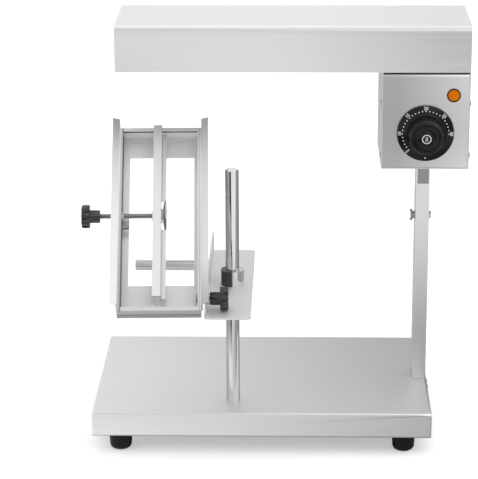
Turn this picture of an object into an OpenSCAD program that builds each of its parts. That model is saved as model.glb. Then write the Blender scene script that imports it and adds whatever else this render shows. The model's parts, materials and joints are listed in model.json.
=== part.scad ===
// Countertop cheese melter with a heating head on a column and a tilting tray for a half wheel.
// X runs to the right, Y to the back, Z up. The origin is the centre of the footprint on the table.

/* [Base] */
// Width of the base
base_w = 400; // [360:5:460]
// Depth of the base
base_d = 260; // [240:5:300]
// Height of the base's folded skirt
base_h = 30; // [26:1:40]
// Thickness of the folded base and column sheet
sheet_t = 1.5; // [1.2:0.1:2]
// Thickness of the plate that closes the base from below
floor_t = 1.2; // [1:0.1:2]
// Height of a rubber foot
foot_h = 22; // [18:1:26]
// Diameter of a rubber foot
foot_d = 28; // [26:1:32]
// Distance of a foot's centre from the base's side
foot_in_x = 32; // [24:1:44]
// Distance of a foot's centre from the base's front or back
foot_in_y = 20; // [18:1:30]

/* [Post] */
// Diameter of the carriage post
post_d = 16; // [14:0.5:18]
// Length of the post above the base
post_h = 285.5; // [270:0.5:310]
// Sideways place of the post, from the middle of the base
post_x = -34.5; // [-50:0.5:-20]
// Distance of the post's axis from the base's front
post_y = 44; // [36:1:52]

/* [Column] */
// Width of the column channel
column_w = 16; // [15:0.5:20]
// Depth of the column channel
column_d = 36; // [34:1:44]
// Distance of the column's middle behind the base's middle
column_back = 2; // [-7:1:8]
// Height of the column's front web above the base
column_web_h = 248.6; // [235:0.1:256]
// Height of the head's hinge bolt above the base
hinge_h = 205; // [195:1:215]

/* [Head] */
// Length of the heating head
head_w = 409.5; // [390:0.5:420]
// Depth of the heating head
head_d = 126; // [118:1:140]
// Height of the heating head
head_h = 54.7; // [54:0.1:70]
// Height of the head's lower rim above the base
head_z = 394.4; // [387:0.1:410]
// How far the head stands past the base's right side
head_over = 40; // [34:1:46]
// Outside radius of the head's two long bends
head_bend = 8; // [4:0.5:10]
// Thickness of the head and control box sheet
cover_t = 1.2; // [1:0.1:1.5]
// Diameter of the tubular heating elements
element_d = 8; // [6.5:0.5:9]
// Centre distance of the two legs of one element
element_gap = 30; // [26:1:34]

/* [Control box] */
// Width of the control box
box_w = 101.5; // [96:0.5:108]
// Depth of the control box
box_d = 122; // [112:1:124]
// Height of the control box
box_h = 115; // [108:1:118]
// How far the front panel is set back inside the box's rim
panel_in = 1.3; // [1:0.1:2]
// Diameter of the dial's skirt
dial_d = 66; // [60:1:70]
// Diameter of the dial's grip
grip_d = 46; // [40:1:48]
// Height of the dial's centre above the box's floor
dial_z = 43; // [40:1:48]
// Diameter of the pilot lamp's lens ring
lamp_d = 16; // [14:0.5:18]

/* [Carriage] */
// Height of the carriage plate's upper face above the base
plate_z = 146; // [136:1:156]
// Width of the carriage plate
plate_w = 52.5; // [47:0.5:56]
// Length of the carriage plate
plate_l = 248; // [240:1:256]
// How far the plate reaches in front of the post's axis
plate_front = 120; // [116:1:124]
// Height of the tilt bolt's axis above the carriage plate
pivot_h = 14.1; // [13:0.1:18]
// Thickness of the carriage plate and its cheek
plate_t = 2; // [1.5:0.1:3]
// Outside diameter of the collar on the plate
collar_d = 27; // [25:1:30]
// Height of the collar
collar_h = 18; // [15:1:24]
// Outside diameter of the stop ring under the plate
ring_d = 30; // [28:1:32]
// Height of the stop ring
ring_h = 12; // [12:1:16]
// Diameter of the rod that the lowered tray rests on
rest_d = 13; // [10:1:14]

/* [Tray] */
// Angle of the tray above the horizontal at rest
tray_tilt = 44; // [30:1:60]
// How far the tray sits askew in its pivot, seen from above
tray_skew = 2; // [0:0.5:2]
// Inside width of the tray
tray_w = 93.3; // [84:0.1:96]
// Length of the tray
tray_l = 239; // [228:1:248]
// Depth of the tray
tray_h = 20; // [18:1:24]
// Thickness of the tray's sheet
tray_t = 1.2; // [1:0.1:1.5]
// Distance of the tray's lower end from its pivot
tray_low = 19; // [18:1:24]
// Thickness of the side rails
rail_t = 1.5; // [1.2:0.1:2]
// Width of a side rail's flared lip
lip_w = 6.6; // [5:0.1:8]
// How far a lip rises towards its outer edge
lip_rise = 4; // [3:0.5:6]
// Width of the press bar
bar_w = 10; // [10:0.5:14]
// Distance of the press screw from the tray's pivot
screw_u = 107; // [96:1:112]
// Diameter of the press screw
screw_d = 6; // [5:0.5:6.5]
// Diameter of the press pad
pad_d = 34; // [30:1:36]
// Diameter of a star knob
knob_d = 27; // [25:0.5:29]
// Thickness of a star knob's head
knob_head = 9.5; // [8:0.5:12]
// Length of a star knob's hub
knob_hub = 12; // [10:0.5:14]

/* [Hidden] */

$fn = 48;
// Clearances: between moving parts, round a turning shaft, round the tilt bolt, and round a screw
gap = 0.3;
run = 0.05;
pivot_run = 0.1;
hole_gap = 0.25;
eps = 0.01;

// Levels and places worked out from the driving sizes
base_top = foot_h + base_h;
column_right = base_w / 2 - sheet_t;
column_x = column_right - column_w / 2;
hinge_z = base_top + hinge_h;
stem_w = column_w - 2 * sheet_t - 2 * gap;
stem_d = 30;
stem_t = 1.5;
column_y = base_d / 2 + column_back - column_d / 2;
stem_y = column_y + sheet_t + gap;
hinge_y = stem_y + stem_d / 2;
head_bottom = base_top + head_z;
head_top = head_bottom + head_h;
head_right = base_w / 2 + head_over;
head_left = head_right - head_w;
head_front = base_d / 2 - head_d / 2;
head_back = head_front + head_d;
box_right = head_right;
box_left = box_right - box_w;
box_bottom = head_bottom - box_h;
box_front = head_front + 2;
box_back = box_front + box_d;
panel_y = box_front + panel_in;
panel_t = 1.5;
ear_l = 10;
shaft_hole_d = 10;
panel_screw_up = 15;
panel_screw_down = 38;
panel_gap = 2.3;
panel_top = head_bottom - panel_gap;
panel_bend = 2.5;
panel_fold = 9;
flange_r = box_bottom - hinge_z - 0.5;

// Fasteners
m4 = 4;
m5 = 5;
m6 = 6;
m8 = 8;
nut5_h = 4;
nut5_af = 8;
head5_h = 3.5;

// Dial, thermostat and lamp
dial_x = box_left + box_w / 2;
dial_cz = box_bottom + dial_z;
dial_gap = 2;
skirt_t = 5;
skirt_edge = 2;
grip_h = 28;
shaft_d = 6;
thermo_w = 38;
thermo_h = 34;
thermo_d = 26;
lamp_x = box_right - 19;
lamp_z = head_bottom - 27.2;
lamp_body_d = 12;
lamp_body = 16;
lamp_rim = 1.6;
lens_d = 13.4;
lens_seat = 0.6;
gland_d = 18;
gland_bore = 7.2;
gland_x = box_right - 26;
gland_z = box_bottom + 26;

// Heating elements and the trough above them
partition_x = box_left;
trough_left = head_left + 12;
trough_right = partition_x - 2;
trough_in = 9;
trough_rim = head_bottom + 8;
trough_top = head_top - 14;
trough_slope = 16;
trough_t = 0.8;
strip_in = 30;
strip_w = 12;
strip_l = 40;
element_z = trough_rim + 11;
element_left = trough_left + 14;
element_bend = element_gap / 2;
element_y = [for (s = [-1, 1]) base_d / 2 + s * (element_gap / 2 + 9)];
element_end = partition_x + 10;
support_x = [element_left + element_bend + 16, (trough_left + trough_right) / 2 + 20];
terminal_d = 3;
terminal_l = 9;
bulb_z = element_z + 9;

// Carriage
plate_top = base_top + plate_z;
plate_left = post_x - 28.5;
plate_y = post_y - plate_front;
pivot_y = plate_y + 26;
pivot_z = plate_top + pivot_h;
plate_r = 5;
pivot_x = plate_left + plate_t / 2;
cheek_r = 9.3;
bush_r = 6;
bush_l = 1.7;
bush_gap = gap + bush_r * sin(tray_skew);
tray_right = plate_left - bush_gap - bush_l - rail_t - tray_t;
tray_left = tray_right - tray_w;
rest_len = 91;
rest_reach = 170;
rest_y = pivot_y + rest_reach;
rest_z = pivot_z - tray_h / 2 - gap - rest_d / 2;
knob_lobes = 8;
hub_d = 15;
washer_t = 2.8;
bolt_end = 12;
hub_bore = 8;
clip_d = 10;

// Tray, in its own frame: u along its length, v out of its face
rim_v = tray_h / 2;
floor_v = -tray_h / 2;
tray_high = tray_l - tray_low;
window_left = 10.9;
window_right = 7.3;
hem_w = 3;
window_low = tray_low + 21;
window_high = 30;
rail_low = tray_low - 7.5;
rail_high = 12;
bar_t = 2;
bar_v = rim_v + gap;
bar_x = tray_left + 38.8;
bar_foot_u = -1;
leg_w = 5;
leg_v = 0;
lug_h = 16;
boss_h = 3.5;
boss_r = 8;
pad_t = 2;
pad_flat = 9;
pad_dish = 1.8;
nut6_h = 5;
nut6_af = 10;
stud_u = 92.5;
stud_d = 5.5;
stud_l = 11.5;
press_hub_x = tray_left - 22;
press_knob_x = press_hub_x - knob_hub - knob_head;

// The footprint's centre, which the whole model is shifted to
reach_left = pivot_x + (press_knob_x - pivot_x) * cos(tray_skew)
    - (screw_u * cos(tray_tilt) + knob_d / 2) * sin(tray_skew);
reach_right = box_right + 1.6;
reach_front = plate_y;
reach_back = base_d;

module frame() {
    translate([-(reach_left + reach_right) / 2, -(reach_front + reach_back) / 2, 0]) children();
}

// Shape helpers
module along_x() rotate([0, 90, 0]) children();
module along_y() rotate([-90, 0, 0]) children();
module hexagon(af, h) cylinder(d = af / cos(30), h = h, $fn = 6);

module box_shape(low, high) {
    translate(low) cube([for (i = [0:2]) high[i] - low[i]]);
}

module ring(outer, inner, h) {
    difference() {
        cylinder(d = outer, h = h);
        translate([0, 0, -eps]) cylinder(d = inner, h = h + 2 * eps);
    }
}

// A screw along +Z with its head below the plane: the shank starts at the plane
module screw(d, length, head_d, head_h) {
    cylinder(d = d, h = length);
    translate([0, 0, -head_h]) rotate_extrude()
        polygon([[0, 0], [head_d * 0.32, 0], [head_d / 2, head_h * 0.55], [head_d / 2, head_h],
            [0, head_h]]);
}

module hex_bolt(d, length, af, head_h) {
    cylinder(d = d, h = length);
    translate([0, 0, -head_h]) hexagon(af, head_h);
}

module hex_nut(d, af, h) {
    difference() {
        hexagon(af, h);
        translate([0, 0, -eps]) cylinder(d = d, h = h + 2 * eps);
    }
}

// Outline with rounded lobes, for knobs that are turned by hand
module lobed(d, lobes, lobe_d) {
    circle(d = d - lobe_d * 0.55);
    for (i = [0:lobes - 1]) rotate(i * 360 / lobes)
        translate([(d - lobe_d) / 2, 0]) circle(d = lobe_d, $fn = 24);
}

// Star knob along +Z: its hub starts at the plane, its head is the far end
module star_knob(bore, depth) {
    difference() {
        union() {
            linear_extrude(knob_hub) lobed(hub_d, knob_lobes, 4);
            translate([0, 0, knob_hub]) linear_extrude(knob_head) lobed(knob_d, knob_lobes, 8);
        }
        translate([0, 0, -eps]) cylinder(d = bore, h = depth);
    }
}

// Rectangle with rounded corners, its first corner at the origin
module rounded(w, l, r) {
    translate([r, 0]) square([w - 2 * r, l]);
    translate([0, r]) square([w, l - 2 * r]);
    for (x = [r, w - r], y = [r, l - r]) translate([x, y]) circle(r = r);
}

// Round wire along a smooth curve through the points
function unit(a) = a / norm(a);
function spline(p, i, t) =
    let (a = p[max(i - 1, 0)], b = p[i], c = p[i + 1], d = p[min(i + 2, len(p) - 1)])
    0.5 * (2 * b + (c - a) * t + (2 * a - 5 * b + 4 * c - d) * t * t
        + (3 * b - a - 3 * c + d) * t * t * t);
function curve(p, n) = concat([for (i = [0:len(p) - 2]) for (k = [0:n - 1]) spline(p, i, k / n)],
    [p[len(p) - 1]]);
function tangent(c, i) = unit(c[min(i + 1, len(c) - 1)] - c[max(i - 1, 0)]);
function carry(n, t) = unit(n - (n * t) * t);
function normals(c, i, n) = i == len(c) ? []
    : let (m = carry(n, tangent(c, i))) concat([m], normals(c, i + 1, m));

module wire(points, d, start, sides = 8, steps = 4) {
    c = curve(points, steps);
    ns = normals(c, 0, start);
    rings = [for (i = [0:len(c) - 1]) let (t = tangent(c, i), n = ns[i], b = cross(t, n))
        for (k = [0:sides - 1]) c[i] + d / 2 * (cos(k * 360 / sides) * n + sin(k * 360 / sides) * b)];
    last = (len(c) - 1) * sides;
    polyhedron(rings, concat([[for (k = [0:sides - 1]) k]],
        [[for (k = [0:sides - 1]) last + sides - 1 - k]],
        [for (i = [0:len(c) - 2]) for (k = [0:sides - 1]) each
            let (a = i * sides + k, b = i * sides + (k + 1) % sides)
            [[a, b + sides, b], [a, a + sides, b + sides]]]));
}

// Base
module foot_places() {
    for (x = [-1, 1], y = [0, 1])
        translate([x * (base_w / 2 - foot_in_x), y == 0 ? foot_in_y : base_d - foot_in_y, 0])
            children();
}

module base_pan() color("silver") frame() difference() {
    box_shape([-base_w / 2, 0, foot_h], [base_w / 2, base_d, base_top]);
    box_shape([-base_w / 2 + sheet_t, sheet_t, foot_h - eps],
        [base_w / 2 - sheet_t, base_d - sheet_t, base_top - sheet_t]);
    translate([post_x, post_y, foot_h]) cylinder(d = m8 + 2 * hole_gap, h = base_h + 1);
    box_shape([column_right - column_w - gap, column_y - gap, foot_h + sheet_t],
        [column_right, column_y + column_d + gap, base_top + 1]);
    column_bolt_places() translate([0, 0, -sheet_t - 1]) cylinder(d = m5 + 2 * hole_gap, h = sheet_t + 2);
}

module base_floor() color("gainsboro") frame() difference() {
    box_shape([-base_w / 2 + sheet_t, sheet_t, foot_h],
        [base_w / 2 - sheet_t, base_d - sheet_t, foot_h + floor_t]);
    foot_places() cylinder(d = m5 + 2 * hole_gap, h = foot_h + floor_t + 1);
    translate([post_x, post_y, 0]) cylinder(d = 24, h = foot_h + floor_t + 1);
}

foot_screw_seat = 8;
foot_well_d = 11;
foot_round = 6;
foot_taper = 1;

module feet() color("#1a1a1a") frame() foot_places() difference() {
    rotate_extrude() union() {
        polygon([[0, foot_round], [foot_d / 2 - foot_taper, foot_round], [foot_d / 2, foot_h], [0, foot_h]]);
        square([foot_d / 2 - foot_taper - foot_round, foot_h]);
        translate([foot_d / 2 - foot_taper - foot_round, foot_round]) circle(r = foot_round);
    }
    translate([0, 0, -eps]) cylinder(d = foot_well_d, h = foot_screw_seat + eps);
    cylinder(d = m5 + 2 * hole_gap, h = foot_h + 1);
}

module foot_screws() color("silver") frame() foot_places()
    translate([0, 0, foot_screw_seat])
        screw(m5, foot_h - foot_screw_seat + floor_t + nut5_h + 1, 10, head5_h);

module foot_nuts() color("silver") frame() foot_places()
    translate([0, 0, foot_h + floor_t]) hex_nut(m5, nut5_af, nut5_h);

// Post
post_thread = 16;

module post() color("silver") frame() translate([post_x, post_y, base_top]) difference() {
    rotate_extrude() polygon([[0, 0], [post_d / 2, 0], [post_d / 2, post_h - 1],
        [post_d / 2 - 1, post_h], [0, post_h]]);
    translate([0, 0, -eps]) cylinder(d = m8, h = post_thread);
}

module post_washer() color("silver") frame()
    translate([post_x, post_y, base_top - sheet_t - 2]) ring(22, m8 + 2 * hole_gap, 2);

module post_bolt() color("silver") frame()
    translate([post_x, post_y, base_top - sheet_t - 2]) hex_bolt(m8, sheet_t + 2 + post_thread - 3, 13, 5.3);

// Column and its hinge
module column_bolt_places() {
    for (y = [column_y + 9, column_y + column_d - 9])
        translate([base_w / 2, y, foot_h + base_h / 2]) rotate([0, 90, 0]) children();
}

module column() color("silver") frame() difference() {
    union() {
        box_shape([column_right - column_w, column_y, foot_h + floor_t],
            [column_right, column_y + column_d, hinge_z]);
        intersection() {
            box_shape([column_right - column_w, column_y, hinge_z - eps],
                [column_right, column_y + column_d, box_bottom]);
            translate([column_right - column_w, hinge_y, hinge_z]) along_x()
                cylinder(r = flange_r, h = column_w, $fn = 96);
        }
    }
    box_shape([column_right - column_w + sheet_t, column_y + sheet_t, foot_h],
        [column_right - sheet_t, column_y + column_d + 1, box_bottom + 1]);
    box_shape([column_right - column_w + sheet_t, column_y - 1, base_top + column_web_h],
        [column_right - sheet_t, column_y + sheet_t + 1, box_bottom + 1]);
    translate([column_right - column_w - 1, hinge_y, hinge_z]) along_x()
        cylinder(d = m5 + 2 * run, h = column_w + 2);
    column_bolt_places() translate([0, 0, -column_w / 2 - sheet_t])
        cylinder(d = m5 + 2 * hole_gap, h = column_w);
}

module column_screws() color("silver") frame() column_bolt_places()
    rotate([180, 0, 0]) screw(m5, 2 * sheet_t + nut5_h + 1, 10, 2.4);

module column_nuts() color("silver") frame() column_bolt_places()
    translate([0, 0, -2 * sheet_t - nut5_h]) hex_nut(m5, nut5_af, nut5_h);

hinge_washer_t = 0.8;
hinge_head_h = 2.2;
wing_hub = 3.6;

module hinge_bolt() color("silver") frame()
    translate([column_right + hinge_washer_t, hinge_y, hinge_z]) rotate([0, -90, 0])
        hex_bolt(m5, column_w + 2 * hinge_washer_t + gap + wing_hub + 0.6, nut5_af, hinge_head_h);

module hinge_washers() color("silver") frame() {
    for (x = [column_right, column_right - column_w - hinge_washer_t])
        translate([x, hinge_y, hinge_z]) along_x() ring(10, m5 + 2 * hole_gap, hinge_washer_t);
}

wing_r = 4.2;
wing_span = 7;
wing_t = 2;

module wing_nut() color("#222222") frame()
    translate([column_right - column_w - hinge_washer_t - gap, hinge_y, hinge_z]) rotate([0, -90, 0])
        difference() {
            union() {
                cylinder(r = wing_r, h = wing_hub);
                for (a = [0, 180]) rotate([0, 0, a]) translate([0, wing_t / 2, 0]) rotate([90, 0, 0])
                    linear_extrude(wing_t) union() {
                        polygon([[2.9, 0.8], [wing_span - 1.2, 1.4], [wing_span - 2, 5.2],
                            [3.2, wing_hub - 0.3]]);
                        translate([wing_span - 1.6, 3.4]) circle(r = 1.8);
                    }
            }
            translate([0, 0, -eps]) cylinder(d = m5 + 2 * run, h = 20);
        }

// Head: the cover is one folded sheet, open below
module head_profile(grow) {
    r = head_bend - grow;
    union() {
        translate([head_front + grow, head_bottom - 1]) square([head_d - 2 * grow, head_h + 1 - grow - r]);
        translate([head_front + head_bend, head_bottom]) square([head_d - 2 * head_bend, head_h - grow]);
        for (y = [head_front + head_bend, head_back - head_bend])
            translate([y, head_top - head_bend]) circle(r = r);
    }
}

// Turns a profile drawn in Y and Z into a bar along X
module bar_along_x(x0, x1) {
    translate([x0, 0, 0]) rotate([90, 0, 90]) linear_extrude(x1 - x0) children();
}

module head_cover() color("silver") frame() difference() {
    bar_along_x(head_left, head_right) intersection() {
        head_profile(0);
        translate([0, head_bottom]) square([base_d * 2, head_h * 2]);
    }
    bar_along_x(head_left + cover_t, head_right - cover_t) head_profile(cover_t);
}

module trough_profile(grow) {
    front = head_front + trough_in;
    back = head_back - trough_in;
    polygon([[front + grow, trough_rim - (grow > 0 ? 1 : 0)], [back - grow, trough_rim - (grow > 0 ? 1 : 0)],
        [back - trough_slope - grow, trough_top - grow], [front + trough_slope + grow, trough_top - grow]]);
}

module reflector() color("lightgray") frame() {
    difference() {
        bar_along_x(trough_left, trough_right) trough_profile(0);
        bar_along_x(trough_left + trough_t, trough_right + 1) trough_profile(trough_t);
    }
    // Hanger strips that carry the trough from the cover's roof
    for (x = [trough_left + strip_in, trough_right - 2 * strip_in])
        box_shape([x, base_d / 2 - strip_l / 2, trough_top - trough_t],
            [x + strip_w, base_d / 2 + strip_l / 2, head_top - cover_t]);
}

module element_lines(from, to, d) {
    for (y = element_y, s = [-1, 1])
        translate([from, y + s * element_gap / 2, element_z]) along_x() cylinder(d = d, h = to - from);
}

module element_partition() color("silver") frame() difference() {
    box_shape([partition_x, head_front + cover_t, head_bottom], [partition_x + cover_t, head_back - cover_t,
        head_top - head_bend]);
    element_lines(partition_x - 1, partition_x + cover_t + 1, element_d + 2 * hole_gap);
    translate([partition_x - 1, base_d / 2, bulb_z]) along_x() cylinder(d = 3, h = cover_t + 2);
}

module heating_elements() color("#5a5652") frame() {
    for (y = element_y) {
        for (s = [-1, 1]) translate([element_left + element_bend, y + s * element_gap / 2, element_z])
            along_x() {
                cylinder(d = element_d, h = element_end - element_left - element_bend);
                cylinder(d = terminal_d, h = element_end - element_left - element_bend + terminal_l);
            }
        translate([element_left + element_bend, y, element_z]) rotate([0, 0, 90])
            rotate_extrude(angle = 180) translate([element_gap / 2, 0]) circle(d = element_d, $fn = 32);
    }
}

module element_supports() color("silver") frame() {
    for (x = support_x) difference() {
        box_shape([x, head_front + trough_in + trough_slope + 2, element_z - 6],
            [x + 1, head_back - trough_in - trough_slope - 2, trough_top - trough_t]);
        element_lines(x - 1, x + 2, element_d + 2 * hole_gap);
        translate([x - 1, base_d / 2, bulb_z]) along_x() cylinder(d = 6.4 + 2 * hole_gap, h = 3);
    }
}

// Control box: folded sides, floor and back, with a front panel set into it
module control_box() color("silver") frame() difference() {
    box_shape([box_left, box_front, box_bottom], [box_right, box_back, head_bottom]);
    box_shape([box_left + cover_t, box_front - 1, box_bottom + cover_t],
        [box_right - cover_t, box_back - cover_t, head_bottom + 1]);
    box_shape([column_x - stem_w / 2, stem_y, box_bottom - 1],
        [column_x + stem_w / 2, stem_y + stem_d, box_bottom + 5]);
    translate([gland_x, box_back - cover_t - 1, gland_z]) along_y() cylinder(d = 12 + 2 * hole_gap, h = 4);
    panel_screw_places() translate([0, 0, -1]) cylinder(d = m4 + 2 * hole_gap, h = cover_t + 2);
    stem_screw_places() translate([0, 0, -1]) cylinder(d = m5 + 2 * hole_gap, h = cover_t + 2);
}

module panel_screw_places() {
    for (z = [box_bottom + panel_screw_up, head_bottom - panel_screw_down], s = [0, 1])
        translate([s == 0 ? box_left : box_right, panel_y + panel_t + ear_l / 2, z])
            rotate([0, s == 0 ? 90 : -90, 0]) children();
}

// The panel seen from its end, with its upper edge folded back; grown inwards it leaves the sheet
module panel_outline(grow) {
    low = box_bottom + cover_t - grow;
    translate([panel_y + grow, low]) square([panel_fold, panel_top - panel_bend - low]);
    translate([panel_y + panel_bend, low])
        square([panel_fold + grow - panel_bend, panel_top - grow - low]);
    translate([panel_y + panel_bend, panel_top - panel_bend]) circle(r = panel_bend - grow);
}

module front_panel() color("silver") frame() difference() {
    union() {
        bar_along_x(box_left + cover_t, box_right - cover_t) difference() {
            panel_outline(0);
            panel_outline(panel_t);
        }
        for (x = [box_left + cover_t, box_right - cover_t - panel_t])
            box_shape([x, panel_y + panel_t - eps, box_bottom + cover_t + 4],
                [x + panel_t, panel_y + panel_t + ear_l, panel_top - panel_t - 2]);
    }
    translate([dial_x, panel_y - 1, dial_cz]) along_y() cylinder(d = shaft_hole_d, h = panel_t + 2);
    translate([lamp_x, panel_y - 1, lamp_z]) along_y() cylinder(d = lamp_body_d + 2 * run, h = panel_t + 2);
    thermo_screw_places() translate([0, 0, -1]) cylinder(d = m4 + 2 * hole_gap, h = panel_t + 2);
    panel_screw_places() cylinder(d = m4, h = cover_t + panel_t + 1);
}

module panel_screws() color("silver") frame() panel_screw_places() screw(m4, cover_t + panel_t + 2, 7.5, 1.6);

flange_w = 40;
flange_l = 56;
flange_t = 2.5;

module stem_screw_places() {
    for (x = [-1, 1], y = [-1, 1])
        translate([column_x + x * (flange_w / 2 - 7), hinge_y + y * (flange_l / 2 - 7), box_bottom])
            children();
}

// Rectangular tube with a round lower end that turns on the hinge bolt
module stem() color("gray") frame() difference() {
    union() {
        box_shape([column_x - stem_w / 2, stem_y, hinge_z],
            [column_x + stem_w / 2, stem_y + stem_d, box_bottom + cover_t + flange_t + 12]);
        translate([column_x - stem_w / 2, hinge_y, hinge_z]) along_x() cylinder(d = stem_d, h = stem_w);
    }
    box_shape([column_x - stem_w / 2 + stem_t, stem_y + stem_t, hinge_z + 9],
        [column_x + stem_w / 2 - stem_t, stem_y + stem_d - stem_t, box_bottom + 40]);
    translate([column_x - stem_w, hinge_y, hinge_z]) along_x() cylinder(d = m5 + 2 * run, h = 2 * stem_w);
}

module stem_flange() color("silver") frame() difference() {
    box_shape([column_x - flange_w / 2, hinge_y - flange_l / 2, box_bottom + cover_t],
        [column_x + flange_w / 2, hinge_y + flange_l / 2, box_bottom + cover_t + flange_t]);
    box_shape([column_x - stem_w / 2, stem_y, box_bottom],
        [column_x + stem_w / 2, stem_y + stem_d, box_bottom + 10]);
    stem_screw_places() cylinder(d = m5, h = 10);
}

module stem_screws() color("silver") frame() stem_screw_places()
    screw(m5, cover_t + flange_t + 3, 9, 2.4);

// Inside the box
module thermostat() color("gainsboro") frame() difference() {
    box_shape([dial_x - thermo_w / 2, panel_y + panel_t, dial_cz - thermo_h / 2],
        [dial_x + thermo_w / 2, panel_y + panel_t + thermo_d, dial_cz + thermo_h / 2]);
    translate([dial_x, panel_y, dial_cz]) along_y() cylinder(d = shaft_d + 2 * run, h = 14);
    thermo_screw_places() cylinder(d = m4, h = panel_t + 7);
}

module thermo_screw_places() {
    for (s = [-1, 1]) translate([dial_x + s * 14, panel_y, dial_cz]) along_y() children();
}

module thermostat_screws() color("silver") frame() thermo_screw_places() screw(m4, panel_t + 6, 6.5, 1.3);

bulb_l = 70;
bulb_d = 6.4;
thermo_back = panel_y + panel_t + thermo_d;

module sensor_bulb() color("#b87333") frame()
    translate([support_x[1] - 20, base_d / 2, bulb_z]) along_x() cylinder(d = bulb_d, h = bulb_l);

module capillary() color("#b87333") frame()
    wire(concat([[support_x[1] + bulb_l - 20, base_d / 2, bulb_z]],
        [for (x = [-44, -20, -8, 2, 10]) [partition_x + x, base_d / 2, bulb_z]],
        [[partition_x + 22, base_d / 2 - 4, bulb_z - 18],
        [dial_x - 20, thermo_back + 26, dial_cz + 34], [dial_x - 8, thermo_back + 16, dial_cz + 8],
        [dial_x - 8, thermo_back + 7, dial_cz], [dial_x - 8, thermo_back + gap, dial_cz]]), 2, [0, 0, 1]);

block_w = 14;
block_l = 28;
block_x = box_left + 22;
block_y = hinge_y + flange_l / 2 + 1;

module terminal_block() color("ivory") frame() difference() {
    box_shape([block_x, block_y, box_bottom + cover_t], [block_x + block_w, block_y + block_l,
        box_bottom + cover_t + 18]);
    for (i = [0:2]) translate([block_x - 1, block_y + 5 + i * 9, box_bottom + cover_t + 12]) along_x()
        cylinder(d = 4, h = block_w + 2);
}

wire_d = 2.4;
leg_end = element_end + terminal_l;
leg_first = element_y[0] - element_gap / 2;
leg_last = element_y[1] + element_gap / 2;
leg_inner = [element_y[0] + element_gap / 2, element_y[1] - element_gap / 2];

function block_hole(i) = [block_x + block_w / 2, block_y + 5 + i * 9, box_bottom + cover_t + 12];

module wiring() color("#b03020") frame() {
    // From the terminal block to the thermostat, and from there to the first element
    wire([block_hole(0), block_hole(0) - [7, 0, 0], block_hole(0) + [-15, -14, 4],
        [dial_x - 14, thermo_back + 14, dial_cz - 10], [dial_x - 14, thermo_back + gap, dial_cz - 10]],
        wire_d, [0, 0, 1]);
    wire([[dial_x + 2, thermo_back + gap, dial_cz + 10], [dial_x + 2, thermo_back + 10, dial_cz + 10],
        [leg_end + 34, thermo_back + 8, element_z - 34], [leg_end + 20, leg_first, element_z - 6],
        [leg_end + 8, leg_first, element_z], [leg_end, leg_first, element_z]], wire_d, [0, 0, 1]);
    // From the terminal block to the last element, and between the two elements
    wire([block_hole(2), block_hole(2) - [7, 0, 0], block_hole(2) + [-17, 0, 14],
        [block_x - 8, block_hole(2)[1] - 8, head_bottom - 40], [leg_end + 14, leg_last, element_z - 12],
        [leg_end + 8, leg_last, element_z], [leg_end, leg_last, element_z]], wire_d, [0, 1, 0]);
    wire([[leg_end, leg_inner[0], element_z], [leg_end + 8, leg_inner[0], element_z],
        [leg_end + 16, base_d / 2, element_z], [leg_end + 8, leg_inner[1], element_z],
        [leg_end, leg_inner[1], element_z]], wire_d, [0, 0, 1]);
    // From the pilot lamp to the thermostat
    for (s = [-1, 1]) wire([[lamp_x + 3 * s, panel_y + lamp_body + 1.5, lamp_z],
        [lamp_x + 3 * s, panel_y + lamp_body + 9, lamp_z],
        [dial_x + 22 + 3 * s, thermo_back + 12, dial_cz + 26],
        [dial_x + 13 + 3 * s, thermo_back + 6, dial_cz],
        [dial_x + 13 + 3 * s, thermo_back + gap, dial_cz]], wire_d / 1.5, [0, 0, 1]);
}

module pilot_lamp() color("#222222") frame() translate([lamp_x, panel_y, lamp_z]) along_y() {
    translate([0, 0, -lamp_rim]) ring(lamp_d, lens_d + 2 * run, lamp_rim);
    translate([0, 0, -lens_seat]) ring(lamp_d, lamp_body_d - 2, lens_seat);
    translate([0, 0, -eps]) ring(lamp_body_d, lamp_body_d - 2, lamp_body + eps);
    translate([0, 0, lamp_body - eps]) cylinder(d = lamp_body_d, h = 1.5);
}

module lamp_lens() color("orange") frame() translate([lamp_x, panel_y - lens_seat, lamp_z]) along_y()
    rotate_extrude() polygon([[0, -2.6], [3, -2.3], [5.4, -1.6], [lens_d / 2, -0.7], [lens_d / 2, 0],
        [lamp_body_d / 2 - 1 - run, 0], [lamp_body_d / 2 - 1 - run, 10], [0, 10]]);

module cord_gland() color("#1a1a1a") frame() translate([gland_x, box_back, gland_z]) along_y() difference() {
    union() {
        linear_extrude(7) lobed(gland_d, 12, 3.2);
        translate([0, 0, 7 - eps]) cylinder(d1 = gland_d - 3, d2 = gland_d - 6, h = 7 + eps);
        translate([0, 0, -cover_t - 9]) cylinder(d = 12, h = cover_t + 9 + eps);
    }
    translate([0, 0, -cover_t - 10]) cylinder(d = gland_bore, h = 30);
}

module gland_nut() color("#1a1a1a") frame() translate([gland_x, box_back - cover_t - 4, gland_z])
    along_y() hex_nut(12, 17, 4);

// Dial
module dial_shaft() color("silver") frame() translate([dial_x, panel_y - dial_gap - grip_h + 8, dial_cz])
    along_y() cylinder(d = shaft_d, h = grip_h - 8 + dial_gap + 13);

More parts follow.
